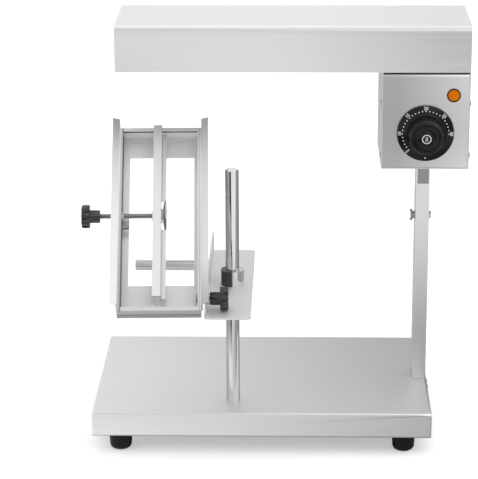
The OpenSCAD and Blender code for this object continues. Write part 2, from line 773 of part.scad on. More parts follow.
module dial() color("#1c1c1c") frame() translate([dial_x, panel_y - dial_gap, dial_cz]) rotate([90, 0, 0])
    difference() {
        rotate_extrude($fn = 96) union() {
            polygon([[0, 0], [dial_d / 2 - 0.6, 0], [dial_d / 2, 0.6], [dial_d / 2, skirt_edge],
                [grip_d / 2 + 1, skirt_t], [grip_d / 2 - 0.5, skirt_t], [grip_d / 2 - 2.5, grip_h - 5],
                [0, grip_h - 5]]);
            translate([0, grip_h - 9]) square([grip_d / 2 - 7, 9]);
            translate([grip_d / 2 - 7, grip_h - 5]) circle(r = 5);
        }
        translate([0, 0, -eps]) cylinder(d = shaft_d, h = grip_h - 8 + eps);
        translate([0, 0, grip_h - 1.5]) cylinder(d = 14, h = 2);
    }

module dial_cap() color("#2a2a2a") frame() translate([dial_x, panel_y - dial_gap - grip_h + 1.5, dial_cz])
    rotate([90, 0, 0]) cylinder(d = 13.6, h = 1.2);

// Stop ring and carriage
module stop_ring() color("silver") frame() translate([post_x, post_y, plate_top - plate_t - gap - ring_h])
    difference() {
        ring(ring_d, post_d + 2 * run, ring_h);
        translate([0, 0, ring_h / 2]) along_y() cylinder(d = m5 + 2 * run, h = ring_d);
    }

module ring_thumbscrew() color("silver") frame()
    translate([post_x, post_y + post_d / 2 + gap, plate_top - plate_t - gap - ring_h / 2]) along_y() {
        cylinder(d = m5, h = ring_d / 2 - post_d / 2 + 2);
        translate([0, 0, ring_d / 2 - post_d / 2 + 1]) linear_extrude(7) lobed(ring_h, 16, 1.6);
    }

module carriage_plate() color("silver") frame() difference() {
    translate([plate_left, plate_y, plate_top - plate_t]) linear_extrude(plate_t)
        rounded(plate_w, plate_l, plate_r);
    translate([post_x, post_y, plate_top - plate_t - 1]) cylinder(d = post_d + 2 * gap, h = plate_t + 2);
}

module collar() color("silver") frame() translate([post_x, post_y, plate_top])
    ring(collar_d, post_d + 2 * run, collar_h);

// Upright cheek on the plate's left edge, rounded at its front round the tilt bolt
module pivot_turn() {
    translate([pivot_x, pivot_y, pivot_z]) rotate([0, 0, tray_skew]) translate([-pivot_x, 0, 0]) children();
}

module cheek() color("silver") frame() difference() {
    translate([plate_left, 0, 0]) rotate([90, 0, 90]) linear_extrude(plate_t) union() {
        translate([pivot_y, plate_top]) square([plate_y + plate_l - pivot_y, pivot_z + cheek_r - plate_top]);
        translate([pivot_y - cheek_r, plate_top]) square([2 * cheek_r, pivot_z - plate_top]);
        translate([pivot_y, pivot_z]) circle(r = cheek_r, $fn = 64);
    }
    pivot_turn() translate([plate_left - 2, 0, 0]) along_x()
        cylinder(d = m6 + 2 * pivot_run, h = plate_t + 4);
}

// The rod sits on a short arm of the plate, just behind and below the lowered tray
module rest_rod() color("silver") frame() translate([plate_left, rest_y, rest_z]) rotate([0, -90, 0])
    cylinder(d = rest_d, h = rest_len);

// Tray, drawn flat round its pivot and turned up to its rest angle
module tray_frame() {
    frame() pivot_turn() rotate([tray_tilt, 0, 0]) children();
}

module tray_pan() color("silver") tray_frame() difference() {
    box_shape([tray_left - tray_t, -tray_low, floor_v], [tray_right + tray_t, tray_high, rim_v]);
    box_shape([tray_left, -tray_low + tray_t, floor_v + tray_t],
        [tray_right, tray_high - tray_t, rim_v - tray_t]);
    box_shape([tray_left + hem_w, -tray_low + tray_t + hem_w, floor_v + tray_t],
        [tray_right - hem_w, tray_high - tray_t - hem_w, rim_v + 1]);
    box_shape([tray_left + window_left, -tray_low + window_low, floor_v - 1],
        [tray_right - window_right, tray_high - window_high, floor_v + tray_t + 1]);
    translate([tray_right - 1, 0, 0]) along_x() cylinder(d = m6 + 2 * hole_gap, h = 5);
    translate([tray_left - 4, screw_u, 0]) along_x() cylinder(d = screw_d + 2 * hole_gap, h = 5);
    translate([tray_left - 4, stud_u, 0]) along_x() cylinder(d = stud_d, h = 5);
    rivet_places() cylinder(d = 3.2, h = 3 * rail_t, center = true);
}

// A rail seen from its end: x is its distance out from the pan's wall
module rail_profile() {
    polygon([[0, floor_v + 2], [rail_t, floor_v + 2], [rail_t, rim_v - rail_t * 0.4],
        [rail_t + lip_w, rim_v + lip_rise - rail_t], [rail_t + lip_w, rim_v + lip_rise], [0, rim_v + 0.2]]);
}

module rail_bar() {
    translate([0, -rail_low, 0]) rotate([-90, 0, 0]) mirror([0, 1, 0])
        linear_extrude(rail_low + tray_high + rail_high) rail_profile();
}

module left_rail() color("silver") tray_frame() difference() {
    translate([tray_left - tray_t, 0, 0]) mirror([1, 0, 0]) rail_bar();
    translate([tray_left - 5, screw_u, 0]) along_x() cylinder(d = screw_d + 2 * hole_gap, h = 5);
    translate([tray_left - 5, stud_u, 0]) along_x() cylinder(d = stud_d, h = 5);
    rivet_places() cylinder(d = 3.2, h = 3 * rail_t, center = true);
}

module right_rail() color("silver") tray_frame() difference() {
    translate([tray_right + tray_t, 0, 0]) rail_bar();
    translate([tray_right, 0, 0]) along_x() cylinder(d = m6 + 2 * hole_gap, h = 5);
    rivet_places() cylinder(d = 3.2, h = 3 * rail_t, center = true);
}

rivet_u = [28, 122, 196];

module rivet_places() {
    for (x = [tray_left - tray_t, tray_right + tray_t], u = rivet_u)
        translate([x, u, 0]) along_x() children();
}

module rail_rivets() color("silver") tray_frame() {
    for (s = [0, 1], u = rivet_u)
        translate([s == 0 ? tray_left : tray_right, u, 0]) rotate([0, s == 0 ? -90 : 90, 0]) {
            cylinder(d = 3.2, h = tray_t + rail_t);
            translate([0, 0, tray_t + rail_t]) rotate_extrude()
                polygon([[0, 0], [3.2, 0], [2.6, 0.8], [1.2, 1.3], [0, 1.3]]);
            translate([0, 0, -0.8]) cylinder(d = 6, h = 0.8);
        }
}

// Tilt pivot: a bolt through the right wall, held by a star knob on the cheek's far side
tilt_bolt_l = tray_t + rail_t + bush_l + bush_gap + plate_t + washer_t + bolt_end;

module tilt_bolt() color("silver") tray_frame() translate([tray_right, 0, 0]) along_x()
    screw(m6, tilt_bolt_l, 13, 5);

module tilt_bush() color("silver") tray_frame() translate([tray_right + tray_t + rail_t, 0, 0]) along_x()
    ring(2 * bush_r, m6 + 2 * run, bush_l);

module tilt_washer() color("silver") tray_frame() translate([plate_left + plate_t + gap, 0, 0]) along_x()
    ring(13, m6 + 2 * run, washer_t);

module tilt_knob() color("#1a1a1a") tray_frame()
    translate([plate_left + plate_t + washer_t + 2 * gap, 0, 0]) along_x()
        star_knob(m6 + 2 * run, tilt_bolt_l - (plate_left + plate_t + washer_t + gap - tray_right));

// Press: the screw turns in a nut on the left wall and moves the bar
module screw_nut() color("silver") tray_frame() translate([tray_left, screw_u, 0]) along_x()
    hex_nut(screw_d + 2 * run, nut6_af, nut6_h);

module rind_stud() color("gray") tray_frame() translate([tray_left - tray_t - rail_t, stud_u, 0]) along_x() {
    cylinder(d = stud_d, h = tray_t + rail_t + stud_l);
    translate([0, 0, -2]) cylinder(d = 9, h = 2);
}

bar_top = tray_high + gap;

module press_bar() color("silver") tray_frame() difference() {
    union() {
        box_shape([bar_x, bar_foot_u, bar_v], [bar_x + bar_w, bar_top + bar_t, bar_v + bar_t]);
        box_shape([bar_x, bar_top, rim_v - 8], [bar_x + bar_w, bar_top + bar_t, bar_v + bar_t]);
        box_shape([bar_x, bar_foot_u - bar_t, floor_v + tray_t + gap],
            [bar_x + bar_w, bar_foot_u, bar_v + bar_t]);
        box_shape([bar_x, -tray_low + tray_t + 1, floor_v + tray_t + gap],
            [bar_x + bar_w, bar_foot_u, floor_v + tray_t + gap + bar_t]);
        box_shape([bar_x, screw_u - lug_h / 2, -6], [bar_x + bar_w, screw_u + lug_h / 2, bar_v + eps]);
        translate([bar_x + bar_w - eps, screw_u, 0]) along_x() cylinder(r = boss_r, h = boss_h + eps);
        // Stiffening fold along the right edge, left out behind the pad
        for (u = [[bar_foot_u, screw_u - pad_d / 2 - 2],
            [screw_u + pad_d / 2 + 2, tray_high - tray_t - hem_w - 1]]) {
            box_shape([bar_x + bar_w - bar_t, u[0], leg_v], [bar_x + bar_w, u[1], bar_v + eps]);
            box_shape([bar_x + bar_w - eps, u[0], leg_v], [bar_x + bar_w + leg_w, u[1], leg_v + bar_t]);
        }
    }
    translate([bar_x - 1, screw_u, 0]) along_x() cylinder(d = screw_d + 2 * run, h = bar_w + 2);
    translate([bar_x + bar_w, screw_u, 0]) along_x() cylinder(r = 5, h = boss_h + 1);
}

module press_pad() color("silver") tray_frame()
    translate([bar_x + bar_w + boss_h, screw_u, 0]) along_x() rotate_extrude($fn = 64)
        polygon([[0, 0], [pad_flat, 0], [pad_d / 2, -pad_dish], [pad_d / 2, -pad_dish + pad_t],
            [pad_flat, pad_t], [0, pad_t]]);

module press_screw() color("gray") tray_frame() translate([press_hub_x - hub_bore, screw_u, 0]) along_x() {
    cylinder(d = screw_d, h = bar_x + bar_w - press_hub_x + hub_bore + gap);
    translate([0, 0, bar_x + bar_w - press_hub_x + hub_bore + gap]) cylinder(d = clip_d - 1, h = 1);
}

module screw_clip() color("#333333") tray_frame() translate([bar_x - gap - 1, screw_u, 0]) along_x()
    ring(clip_d, screw_d, 1);

module press_knob() color("#1a1a1a") tray_frame() translate([press_hub_x, screw_u, 0]) rotate([0, -90, 0])
    star_knob(screw_d, hub_bore + eps);

base_pan();
base_floor();
feet();
foot_screws();
foot_nuts();
post();
post_bolt();
post_washer();
column();
column_screws();
column_nuts();
hinge_bolt();
hinge_washers();
wing_nut();
head_cover();
reflector();
element_partition();
heating_elements();
element_supports();
control_box();
front_panel();
panel_screws();
stem();
stem_flange();
stem_screws();
thermostat();
thermostat_screws();
sensor_bulb();
capillary();
terminal_block();
wiring();
pilot_lamp();
lamp_lens();
cord_gland();
gland_nut();
dial_shaft();
dial();
dial_cap();
stop_ring();
ring_thumbscrew();
carriage_plate();
cheek();
collar();
rest_rod();
tray_pan();
left_rail();
right_rail();
rail_rivets();
tilt_bolt();
tilt_bush();
tilt_washer();
tilt_knob();
screw_nut();
rind_stud();
press_bar();
press_pad();
press_screw();
screw_clip();
press_knob();
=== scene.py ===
import json
import math
import bmesh
import bpy
from mathutils import Matrix, Vector


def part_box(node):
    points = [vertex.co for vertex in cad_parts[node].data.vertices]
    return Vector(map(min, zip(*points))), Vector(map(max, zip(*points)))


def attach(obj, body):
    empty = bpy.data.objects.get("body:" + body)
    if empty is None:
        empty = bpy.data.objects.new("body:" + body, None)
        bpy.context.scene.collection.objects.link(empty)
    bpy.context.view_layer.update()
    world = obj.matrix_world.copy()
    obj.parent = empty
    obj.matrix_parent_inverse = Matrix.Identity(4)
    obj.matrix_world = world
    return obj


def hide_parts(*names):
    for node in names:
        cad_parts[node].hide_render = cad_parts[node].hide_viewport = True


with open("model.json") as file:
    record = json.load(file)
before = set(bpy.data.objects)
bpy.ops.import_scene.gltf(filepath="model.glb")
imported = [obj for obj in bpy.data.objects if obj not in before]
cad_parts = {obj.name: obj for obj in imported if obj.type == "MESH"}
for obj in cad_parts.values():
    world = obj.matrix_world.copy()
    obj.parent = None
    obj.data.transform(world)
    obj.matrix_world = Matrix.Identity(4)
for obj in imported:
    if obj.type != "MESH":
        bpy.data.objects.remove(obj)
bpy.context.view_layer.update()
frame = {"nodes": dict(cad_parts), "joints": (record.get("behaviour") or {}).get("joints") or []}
NODES = frame["nodes"]
MM = 0.001
HEAD_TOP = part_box("head_cover")[1][2]
BASE_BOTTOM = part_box("base_pan")[0][2]
POST_X = (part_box("post")[0][0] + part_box("post")[1][0]) / 2

# The tray's tilt, its small turn about the vertical, its pivot and its direction across
TILT = math.radians(44)
SKEW = math.radians(2)
PIVOT = next(j["pos_m"] for j in frame["joints"] if j["name"] == "tray_tilt")
ACROSS = Vector((math.cos(SKEW), math.sin(SKEW), 0))


# Camera, fitted to the photograph. Lengths in metres, in the frame of the part.
def make_camera():
    pitch, yaw, roll = math.radians(17.724), math.radians(-1.689), math.radians(-0.312)
    fwd = Vector((math.sin(yaw) * math.cos(pitch), math.cos(yaw) * math.cos(pitch),
                  -math.sin(pitch)))
    right = fwd.cross(Vector((0, 0, 1))).normalized()
    up = right.cross(fwd)
    r = right * math.cos(roll) + up * math.sin(roll)
    u = up * math.cos(roll) - right * math.sin(roll)
    cam = bpy.data.objects.new("camera", bpy.data.cameras.new("camera"))
    bpy.context.scene.collection.objects.link(cam)
    cam.data.sensor_fit = "HORIZONTAL"
    cam.data.sensor_width = 36
    cam.data.lens = 2105.43 / 478 * 36
    cam.data.clip_start, cam.data.clip_end = 0.05, 50
    m = Matrix((r, u, -fwd)).transposed().to_4x4()
    m.translation = Vector((0.02546, -2.38673, 1.00015))
    cam.matrix_world = m
    bpy.context.scene.camera = cam


make_camera()


# Material helpers
def new_mat(name):
    mat = bpy.data.materials.new(name)
    mat.use_nodes = True
    nt = mat.node_tree
    return mat, nt, nt.nodes["Principled BSDF"]


def node(nt, kind, **values):
    n = nt.nodes.new(kind)
    for k, v in values.items():
        setattr(n, k, v)
    return n


def coords(nt):
    return node(nt, "ShaderNodeTexCoord").outputs["Object"]


def place_of(nt, output="Object"):
    """The three coordinates of a place, or of a direction in the world."""
    sep = node(nt, "ShaderNodeSeparateXYZ")
    nt.links.new(node(nt, "ShaderNodeTexCoord").outputs[output], sep.inputs["Vector"])
    return sep.outputs["X"], sep.outputs["Y"], sep.outputs["Z"]


def noise(nt, scale, detail=3.0, stretch=(1, 1, 1), turn=(0, 0, 0)):
    rot = node(nt, "ShaderNodeMapping")
    rot.inputs["Rotation"].default_value = turn
    mp = node(nt, "ShaderNodeMapping")
    mp.inputs["Scale"].default_value = stretch
    nz = node(nt, "ShaderNodeTexNoise")
    nz.inputs["Scale"].default_value = scale
    nz.inputs["Detail"].default_value = detail
    nt.links.new(coords(nt), rot.inputs["Vector"])
    nt.links.new(rot.outputs["Vector"], mp.inputs["Vector"])
    nt.links.new(mp.outputs["Vector"], nz.inputs["Vector"])
    return nz.outputs["Fac"]


def ramp(nt, fac, stops):
    cr = node(nt, "ShaderNodeValToRGB")
    el = cr.color_ramp.elements
    while len(el) < len(stops):
        el.new(0.5)
    for e, (p, c) in zip(el, stops):
        e.position = p
        e.color = (c, c, c, 1) if isinstance(c, float) else (*c, 1)
    nt.links.new(fac, cr.inputs["Fac"])
    return cr.outputs["Color"]


def spread(nt, fac, low, high, frm=0.3, to=0.7):
    mr = node(nt, "ShaderNodeMapRange")
    for k, v in (("From Min", frm), ("From Max", to), ("To Min", low), ("To Max", high)):
        mr.inputs[k].default_value = v
    nt.links.new(fac, mr.inputs["Value"])
    return mr.outputs["Result"]


def mixed(nt, fac, a, b, blend="MIX"):
    mix = node(nt, "ShaderNodeMixRGB", blend_type=blend)
    for key, v in (("Fac", fac), ("Color1", a), ("Color2", b)):
        if isinstance(v, float):
            v = v if key == "Fac" else (v, v, v, 1)
            mix.inputs[key].default_value = v
        else:
            nt.links.new(v, mix.inputs[key])
    return mix.outputs["Color"]


def maths(nt, op, a, b=None):
    m = node(nt, "ShaderNodeMath", operation=op)
    for i, v in enumerate((a, b)):
        if isinstance(v, (int, float)):
            m.inputs[i].default_value = v
        elif v is not None:
            nt.links.new(v, m.inputs[i])
    return m.outputs["Value"]


def bump(nt, bsdf, fac, strength, distance):
    b = node(nt, "ShaderNodeBump")
    b.inputs["Strength"].default_value = strength
    b.inputs["Distance"].default_value = distance
    nt.links.new(fac, b.inputs["Height"])
    nt.links.new(b.outputs["Normal"], bsdf.inputs["Normal"])


def tray_axes(nt):
    """Place in the tray's own directions, from its pivot: across, along and out of the tray."""
    mp = node(nt, "ShaderNodeMapping", vector_type="TEXTURE")
    mp.inputs["Location"].default_value = PIVOT
    mp.inputs["Rotation"].default_value = (TILT, 0, SKEW)
    nt.links.new(coords(nt), mp.inputs["Vector"])
    sep = node(nt, "ShaderNodeSeparateXYZ")
    nt.links.new(mp.outputs["Vector"], sep.inputs["Vector"])
    return sep.outputs


def paint_shade_and_highlights(nt, col, bands):
    """Paints shade and highlights in narrow bands at the tray's folds, hems and walls; each is
    (share, {axis: (low, high)}) in mm of the tray, a share below 1 painted shade and above 1 a
    painted highlight.
    """
    axes = tray_axes(nt)
    blur = 0.2
    for share, limits in bands:
        mask = None
        for axis, (low, high) in limits.items():
            for start, end in ((low - blur, low + blur), (high + blur, high - blur)):
                step = spread(nt, axes["XYZ".index(axis)], 0.0, 1.0, start * MM, end * MM)
                mask = step if mask is None else maths(nt, "MULTIPLY", mask, step)
        col = mixed(nt, mask, col, mixed(nt, 1.0, col, share, "MULTIPLY"))
    return col


def steel(name, grey, rough, along="x", turn=(0, 0, 0), grain=1.0, fade=(), creases=(),
          metal=1.0):
    """Brushed steel; each painted shade is (axis, from, to, share) and darkens the sheet along an
    axis as painted shade; narrow bands of the tray get painted shade and highlights.
    """
    mat, nt, b = new_mat(name)
    stretch = [900.0, 900.0, 900.0]
    stretch["xyz".index(along)] = 9.0
    fine = noise(nt, 1.0, 4, stretch, turn)
    cloud = noise(nt, 5.0, 2)
    col = ramp(nt, cloud, [(0.3, (grey * 0.975, grey * 0.98, grey * 0.985)),
                           (0.7, (grey, grey, grey))])
    col = mixed(nt, 0.05 * grain, col, ramp(nt, fine, [(0.3, 0.55), (0.7, 1.0)]), "MULTIPLY")
    # Painted shade, darker along an axis
    for axis, start, end, share in fade:
        far = spread(nt, place_of(nt)["XYZ".index(axis)], 0.0, 1.0, start, end)
        col = mixed(nt, far, col, mixed(nt, 1.0, col, share, "MULTIPLY"))
    # Painted shade and highlights in narrow bands of the tray
    if creases:
        col = paint_shade_and_highlights(nt, col, creases)
    nt.links.new(col, b.inputs["Base Color"])
    b.inputs["Metallic"].default_value = metal
    nt.links.new(spread(nt, fine, rough - 0.03 * grain, rough + 0.04 * grain),
                 b.inputs["Roughness"])
    bump(nt, b, fine, 0.05 * grain, 0.00004)
    return mat


def plastic(name, colour, rough, scale=900.0, depth=0.00004, var=0.25, shine=0.5):
    mat, nt, b = new_mat(name)
    fine = noise(nt, scale, 3)
    cloud = noise(nt, 40.0, 2)
    dark = tuple(c * (1 - var) for c in colour)
    nt.links.new(ramp(nt, cloud, [(0.35, dark), (0.65, colour)]), b.inputs["Base Color"])
    nt.links.new(spread(nt, fine, rough - 0.05, rough + 0.08), b.inputs["Roughness"])
    b.inputs["Specular IOR Level"].default_value = shine
    bump(nt, b, fine, 0.35, depth)
    return mat


# Bands of the tray in mm where shade and highlights are painted: across it from its walls,
# out of it at its floor and its hems, and along it at its end walls
TRAY_LEFT, TRAY_RIGHT, BAR_RIGHT, PAD_BACK = -99.2, -5.9, -50.4, -47.6
AT_FLOOR, AT_HEM = (-9.3, -8.0), (7.0, 10.6)
AT_UPPER_WALL, AT_LOWER_WALL = (218.3, 219.3), (-19.5, -18.2)


def beside(edge, low, high):
    return edge + low, edge + high


def tray_steel(name, grey, rough, **more):
    return steel(name, grey, rough, "y", (-TILT, 0, 0), **more)


# Painted shadow line along the lower edge of the base
STEEL_BASE = steel("brushed_steel_base", 0.90, 0.44, "x", fade=[
    ("Z", BASE_BOTTOM + 0.0018, BASE_BOTTOM + 0.0008, 0.5)])
# Painted shade: the head darker towards its right and along the top of its cover
STEEL_X = steel("brushed_steel_x", 0.96, 0.34, "x", fade=[
    ("X", 0.03, 0.18, 0.92),
    ("Z", HEAD_TOP - 0.012, HEAD_TOP - 0.005, 0.89)])
STEEL_Y = steel("brushed_steel_y", 0.92, 0.58, "y", metal=0.6)
STEEL_Z = steel("brushed_steel_z", 0.74, 0.36, "z")
# Painted shade: the front panel darker towards its left
STEEL_PANEL = steel("brushed_steel_panel", 0.94, 0.34, "x", fade=[("X", 0.222, 0.14, 0.6)])
# Painted shade: the column darker towards the bottom
STEEL_COLUMN = steel("brushed_steel_column", 0.97, 0.34, "z", fade=[("Z", 0.32, 0.11, 0.72)])
# Painted shade: the tray darker lower down, with painted shade lines at its hems, floor edges and
# end walls and a painted highlight on the upper end wall
STEEL_TRAY = tray_steel("brushed_steel_tray", 0.95, 0.47, metal=0.85, fade=[
    ("Z", 0.34, 0.21, 0.76)], creases=[
    (0.36, {"X": beside(TRAY_LEFT, 0.6, 3.4), "Z": AT_FLOOR}),
    (0.7, {"X": beside(TRAY_LEFT, -0.1, 2.4), "Z": AT_HEM}),
    (0.3, {"X": beside(TRAY_LEFT, 2.4, 3.4), "Z": AT_HEM}),
    (0.85, {"X": beside(TRAY_RIGHT, -3.0, -2.3), "Z": AT_FLOOR}),
    (0.75, {"X": beside(TRAY_RIGHT, -1.7, 0.0), "Z": AT_HEM}),
    (0.2, {"Y": AT_UPPER_WALL, "Z": (0.9, 8.7)}),
    (1.25, {"Y": AT_UPPER_WALL, "Z": (-8.6, 0.4)}),
    (0.85, {"Y": (214.0, 218.6), "Z": (-9.3, -8.2)}),
    (0.72, {"Y": AT_LOWER_WALL, "Z": (-10.5, 7.8)}),
    (0.5, {"Y": AT_LOWER_WALL, "Z": (-3.2, -0.8)}),
    (0.75, {"Y": AT_LOWER_WALL, "Z": (-10.5, -3.2)})])
# Painted shade line where the lip meets the hem
STEEL_LEFT_RAIL = tray_steel("brushed_steel_left_rail", 0.9, 0.45, metal=0.85, creases=[
    (0.75, {"X": beside(TRAY_LEFT, -1.2, -0.3), "Z": (7.0, 12.2)})])
# Painted shade: the right rail darker lower down, with a painted shade line beside the hem
STEEL_RIGHT_RAIL = tray_steel("brushed_steel_right_rail", 0.92, 0.5, metal=0.85, fade=[
    ("Z", 0.25, 0.215, 0.65)], creases=[
    (0.8, {"X": beside(TRAY_RIGHT, 0.9, 1.7), "Z": (7.0, 12.0)})])
# Painted shade lines along the bar's right edge and at the bends of its foot, and a painted
# highlight down the foot
STEEL_BAR = tray_steel("brushed_steel_bar", 0.88, 0.47, metal=0.8, creases=[
    (0.6, {"X": beside(BAR_RIGHT, -0.6, 0.2), "Z": (0.5, 12.4)}),
    (0.5, {"Y": (-3.2, -2.4), "Z": (11.3, 12.6)}),
    (0.5, {"Y": (-3.2, -2.0), "Z": (-9.0, -7.8)}),
    (1.3, {"Y": (-3.3, -2.9), "Z": (-7.6, 11.0)})])
# Painted shade on the pad's back rim and at the edges of its dish
STEEL_PAD = tray_steel("dished_steel_pad", 0.90, 0.35, metal=0.8, creases=[
    (0.14, {"X": beside(PAD_BACK, 0.0, 1.5)}),
    (0.2, {"X": beside(PAD_BACK, 1.5, 4.6), "Y": (117.5, 125.0)}),
    (0.2, {"X": beside(PAD_BACK, 1.5, 4.6), "Y": (89.0, 96.5)})])
# Painted dark reflection on the left half of the collar
COLLAR = steel("turned_collar", 0.80, 0.12, "z", grain=0.3, fade=[
    ("X", POST_X + 0.0014, POST_X - 0.0006, 0.1)])
POLISHED = steel("polished_steel", 0.80, 0.11, "z", grain=0.3)
# Painted dark reflections along the left and right edges of the post
STEEL_POST = steel("polished_post", 0.80, 0.11, "z", grain=0.3, fade=[
    ("X", POST_X - 0.0031, POST_X - 0.0074, 0.5),
    ("X", POST_X + 0.0054, POST_X + 0.0074, 0.6)])
REFLECTOR = steel("bright_reflector", 0.88, 0.2, "x", grain=0.4)
ROD = steel("polished_rod", 0.66, 0.2, "x", grain=0.4)
ZINC = steel("zinc_plate", 0.55, 0.26, "x", grain=0.6)
DARK_ZINC = steel("dull_zinc", 0.36, 0.3, "x", grain=0.6)
ELEMENT = steel("heat_tinted_tube", 0.34, 0.38, "x", grain=0.8)
COPPER = plastic("bare_copper", (0.72, 0.36, 0.2), 0.3, 500, 0.00002, 0.15)
BLACK = plastic("satin_black_plastic", (0.006, 0.006, 0.006), 0.24, shine=0.3)
KNOB = plastic("star_knob_plastic", (0.004, 0.004, 0.004), 0.13, shine=0.9)
RUBBER = plastic("black_rubber", (0.008, 0.008, 0.008), 0.5, 600, 0.0001, shine=0.2)
CERAMIC = plastic("glazed_ceramic", (0.74, 0.70, 0.60), 0.28, 300, 0.00003, 0.08)
SLEEVE = plastic("silicone_sleeve", (0.35, 0.05, 0.035), 0.5, 500, 0.00004, 0.2)
PRINT = plastic("white_print", (0.86, 0.86, 0.84), 0.5, 800, 0.00001, 0.06)
LENS = plastic("orange_lens", (0.80, 0.20, 0.0005), 0.2, 700, 0.00001, 0.16, 0.08)

LOOK = {
    STEEL_BASE: ["base_pan", "base_floor"],
    STEEL_X: ["head_cover", "element_supports"],
    STEEL_PANEL: ["front_panel"],
    STEEL_COLUMN: ["column"],
    STEEL_Z: ["control_box", "element_partition"],
    STEEL_Y: ["carriage_plate", "cheek"],
    STEEL_TRAY: ["tray_pan"],
    STEEL_LEFT_RAIL: ["left_rail"],
    STEEL_RIGHT_RAIL: ["right_rail"],
    STEEL_BAR: ["press_bar", "screw_nut"],
    REFLECTOR: ["reflector"],
    STEEL_PAD: ["press_pad"],
    STEEL_POST: ["post"],
    POLISHED: ["stop_ring"],
    COLLAR: ["collar"],
    ROD: ["rest_rod", "tilt_bush", "screw_clip"],
    ZINC: ["foot_screws", "foot_nuts", "post_bolt", "post_washer", "column_screws",
           "column_nuts", "hinge_bolt", "hinge_washers", "panel_screws", "stem_flange",
           "stem_screws", "thermostat_screws", "dial_shaft", "ring_thumbscrew", "rail_rivets",
           "tilt_washer"],
    DARK_ZINC: ["stem", "press_screw", "rind_stud", "tilt_bolt", "wing_nut"],
    ELEMENT: ["heating_elements"],
    COPPER: ["sensor_bulb", "capillary"],
    BLACK: ["pilot_lamp", "cord_gland", "gland_nut", "dial", "dial_cap"],
    KNOB: ["tilt_knob", "press_knob"],
    RUBBER: ["feet"],
    CERAMIC: ["thermostat", "terminal_block"],
    SLEEVE: ["wiring"],
    LENS: ["lamp_lens"],
}
for mat, names in LOOK.items():
    for n in names:
        ob = NODES[n]
        ob.data.materials.clear()
        ob.data.materials.append(mat)

# Rounded edges on the folded sheet and turned pieces
BEVEL = {
    "head_cover": 0.0006, "control_box": 0.0004, "front_panel": 0.0004,
    "column": 0.0007, "carriage_plate": 0.0005, "cheek": 0.0005, "tray_pan": 0.0004,
    "left_rail": 0.0003, "right_rail": 0.0003, "press_bar": 0.0005, "collar": 0.0008,
    "rest_rod": 0.0006, "stop_ring": 0.0006, "feet": 0.0005, "stem": 0.0005,
    "hinge_bolt": 0.0003, "wing_nut": 0.0004, "tilt_knob": 0.0006, "press_knob": 0.0006,
}


def soften(ob, width=None, sharp=32, flats=False):
    """Smooths a skin up to its sharp edges in degrees, or rounds its edges by a width."""
    for p in ob.data.polygons:
        p.use_smooth = True
    if width is None:
        ob.modifiers.new("edge", "EDGE_SPLIT").split_angle = math.radians(sharp)
        if flats:
            ob.modifiers.new("flats", "WEIGHTED_NORMAL").keep_sharp = True
        return
    bv = ob.modifiers.new("edge", "BEVEL")
    bv.width = width
    bv.segments = 2
    bv.limit_method = "ANGLE"
    bv.angle_limit = math.radians(35)
    bv.harden_normals = True


for n, ob in NODES.items():
    soften(ob, BEVEL.get(n))


# New pieces
def piece(name, me, body, slot, mat, *replaced):
    ob = me if isinstance(me, bpy.types.Object) else bpy.data.objects.new(name, me)
    bpy.context.scene.collection.objects.link(ob)
    ob.data.materials.append(mat)
    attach(ob, body)
    if replaced:
        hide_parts(*replaced)
    return ob


def circle(bm, centre, side, other, radius, steps):
    """One ring of points; its radius is a number or a function of the angle."""
    row = []
    for k in range(steps):
        a = math.tau * k / steps
        r = radius(a) if callable(radius) else radius
        row.append(bm.verts.new(centre + (side * math.cos(a) + other * math.sin(a)) * r))
    return row


def skin(bm, rows, ends=True):
    """Joins rings of points into a skin, closed by its ends or from the last ring to the first."""
    for a, b in zip(rows, rows[1:] + ([] if ends else rows[:1])):
        for k, v in enumerate(a):
            n = (k + 1) % len(a)
            corners = [v, a[n], b[n], b[k]]
            bm.faces.new([c for i, c in enumerate(corners) if c not in corners[:i]])
    for row in (rows[0], rows[-1][::-1]) if ends else ():
        if len(set(row)) > 1:
            bm.faces.new(row)
    bmesh.ops.recalc_face_normals(bm, faces=bm.faces)


def turned(bm, start, axis, outline, steps=96, lobes=8):
    """Turns an outline of (radius, height, flute depth) round an axis into a closed skin."""
    side = Vector((0, 0, 1))
    other = axis.cross(side)
    rows = []
    for r, h, *flute in outline:
        deep = flute[0] if flute else 0.0
        centre = start + axis * h
        rows.append([bm.verts.new(centre)] * steps if r == 0 else circle(
            bm, centre, side, other,
            lambda a: r - deep * (0.5 + 0.5 * math.cos(lobes * a)) ** 3, steps))
    skin(bm, rows)


def mesh_of(name, bm):
    me = bpy.data.meshes.new(name)
    bm.to_mesh(me)
    bm.free()
    return me


def base_pan():
    """The folded base, with the bends of its upper edges and corners."""
    bend_r, tol, shortest = 0.0022, 1e-4, 0.02
    bm = bmesh.new()
    bm.from_mesh(NODES["base_pan"].data)
    bmesh.ops.remove_doubles(bm, verts=bm.verts, dist=1e-6)
    low, high = [Vector(c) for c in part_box("base_pan")]

    def outside(v):
        return (min(v.co.x - low.x, high.x - v.co.x) < tol
                or min(v.co.y - low.y, high.y - v.co.y) < tol)

    bends = [e for e in bm.edges
             if all(outside(v) for v in e.verts) and e.calc_length() > shortest
             and (all(high.z - v.co.z < tol for v in e.verts)
                  or abs(e.verts[0].co.z - e.verts[1].co.z) > shortest)]
    bmesh.ops.bevel(bm, geom=bends, offset=bend_r, segments=5, profile=0.5, affect="EDGES")
    for v in bm.verts:
        v.co = [min(max(v.co[i], low[i]), high[i]) for i in range(3)]
    ob = piece("base_pan_folded", mesh_of("base_pan_folded", bm), "stand", "sheet_steel",
               STEEL_BASE, "base_pan")
    soften(ob, flats=True)


